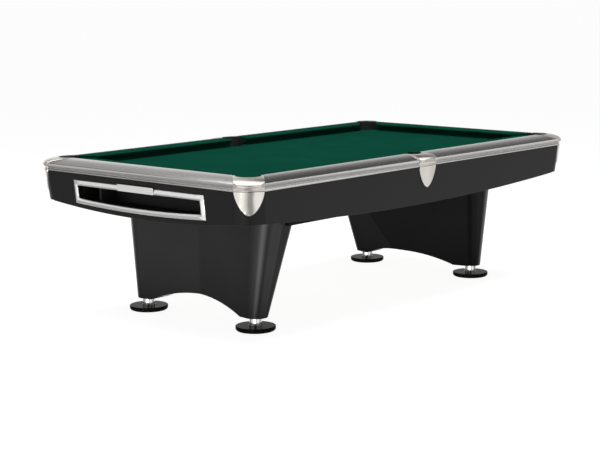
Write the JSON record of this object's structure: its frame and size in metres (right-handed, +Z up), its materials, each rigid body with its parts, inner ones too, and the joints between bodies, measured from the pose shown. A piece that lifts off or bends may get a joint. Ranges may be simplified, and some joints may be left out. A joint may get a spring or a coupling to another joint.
{
  "type": "pool table",
  "caption": "Pocket billiard table with green cloth, metal rail caps and pocket castings, bowed black aprons, a framed ball opening, pedestal legs and screw levellers.",
  "frame": {"origin": "on the floor under the centre of the table", "axes": "+X along the length toward the head end, the ball opening is at -X; +Z up"},
  "size_m": [2.5959, 1.493, 0.792],
  "materials": {
    "slate": "honed",
    "timber": "sanded",
    "cloth": "napped wool",
    "cushion_rubber": "moulded",
    "rail_metal": "satin, brushed lengthwise",
    "casting": "satin nickel plate on castings",
    "black_laminate": "satin laminate",
    "bright_aluminium": "bright satin",
    "box_board": "matt",
    "pedestal_black": "satin black lacquer on board",
    "pocket_liner": "matt",
    "steel": "zinc plated",
    "pad_black": "gloss",
    "stem_chrome": "polished"
  },
  "bodies": {
    "table": {"slate_foot": "slate", "slate_centre": "slate", "slate_head": "slate", "slate_backers": "timber", "bed_cloth": "cloth", "rail_foot": "timber", "rail_head": "timber", "rail_fr": "timber", "rail_hr": "timber", "rail_fl": "timber", "rail_hl": "timber", "end_cushions": "cushion_rubber", "side_cushions": "cushion_rubber", "end_rail_cloths": "cloth", "side_rail_cloths": "cloth", "cap_foot": "rail_metal", "cap_head": "rail_metal", "cap_fr": "rail_metal", "cap_hr": "rail_metal", "cap_fl": "rail_metal", "cap_hl": "rail_metal", "corner_casting_fr": "casting", "corner_casting_fl": "casting", "corner_casting_hr": "casting", "corner_casting_hl": "casting", "side_casting_r": "casting", "side_casting_l": "casting", "corner_shields": "casting", "side_shields": "casting", "apron_foot": "black_laminate", "apron_head": "black_laminate", "apron_right": "black_laminate", "apron_left": "black_laminate", "corner_aprons": "black_laminate", "opening_frame": "bright_aluminium", "badge_plate": "bright_aluminium", "ball_box": "box_board", "pedestal_foot": "pedestal_black", "pedestal_head": "pedestal_black", "side_beams": "timber", "cross_beams": "timber", "pocket_fr": "pocket_liner", "pocket_fl": "pocket_liner", "pocket_hr": "pocket_liner", "pocket_hl": "pocket_liner", "pocket_mr": "pocket_liner", "pocket_ml": "pocket_liner", "track_right": "steel", "track_left": "steel", "track_cross": "steel", "rail_bolts": "steel", "leveller_nuts": "steel"},
    "pad_fr": {"foot_pad_fr": "pad_black"},
    "stem_fr": {"foot_stem_fr": "stem_chrome"},
    "pad_fl": {"foot_pad_fl": "pad_black"},
    "stem_fl": {"foot_stem_fl": "stem_chrome"},
    "pad_hr": {"foot_pad_hr": "pad_black"},
    "stem_hr": {"foot_stem_hr": "stem_chrome"},
    "pad_hl": {"foot_pad_hl": "pad_black"},
    "stem_hl": {"foot_stem_hl": "stem_chrome"}
  },
  "joints": [
    {"name": "level_fr", "type": "slide", "parent": "table", "child": "pad_fr", "axis": [0, 0, 1], "range_m": [-0.0201, 0.0161]},
    {"name": "turn_fr", "type": "hinge", "parent": "pad_fr", "child": "stem_fr", "pos_m": [-0.8815, -0.373, 0.024], "axis": [0, 0, 1], "range_deg": [-2400, 1920]},
    {"name": "level_fl", "type": "slide", "parent": "table", "child": "pad_fl", "axis": [0, 0, 1], "range_m": [-0.0201, 0.0161]},
    {"name": "turn_fl", "type": "hinge", "parent": "pad_fl", "child": "stem_fl", "pos_m": [-0.8815, 0.373, 0.024], "axis": [0, 0, 1], "range_deg": [-2400, 1920]},
    {"name": "level_hr", "type": "slide", "parent": "table", "child": "pad_hr", "axis": [0, 0, 1], "range_m": [-0.0201, 0.0161]},
    {"name": "turn_hr", "type": "hinge", "parent": "pad_hr", "child": "stem_hr", "pos_m": [0.8815, -0.373, 0.024], "axis": [0, 0, 1], "range_deg": [-2400, 1920]},
    {"name": "level_hl", "type": "slide", "parent": "table", "child": "pad_hl", "axis": [0, 0, 1], "range_m": [-0.0201, 0.0161]},
    {"name": "turn_hl", "type": "hinge", "parent": "pad_hl", "child": "stem_hl", "pos_m": [0.8815, 0.373, 0.024], "axis": [0, 0, 1], "range_deg": [-2400, 1920]}
  ],
  "couplings": [
    {"joint": "level_fr", "follows": "turn_fr", "m_per_rad": 0.00047746},
    {"joint": "level_fl", "follows": "turn_fl", "m_per_rad": 0.00047746},
    {"joint": "level_hr", "follows": "turn_hr", "m_per_rad": 0.00047746},
    {"joint": "level_hl", "follows": "turn_hl", "m_per_rad": 0.00047746}
  ]
}
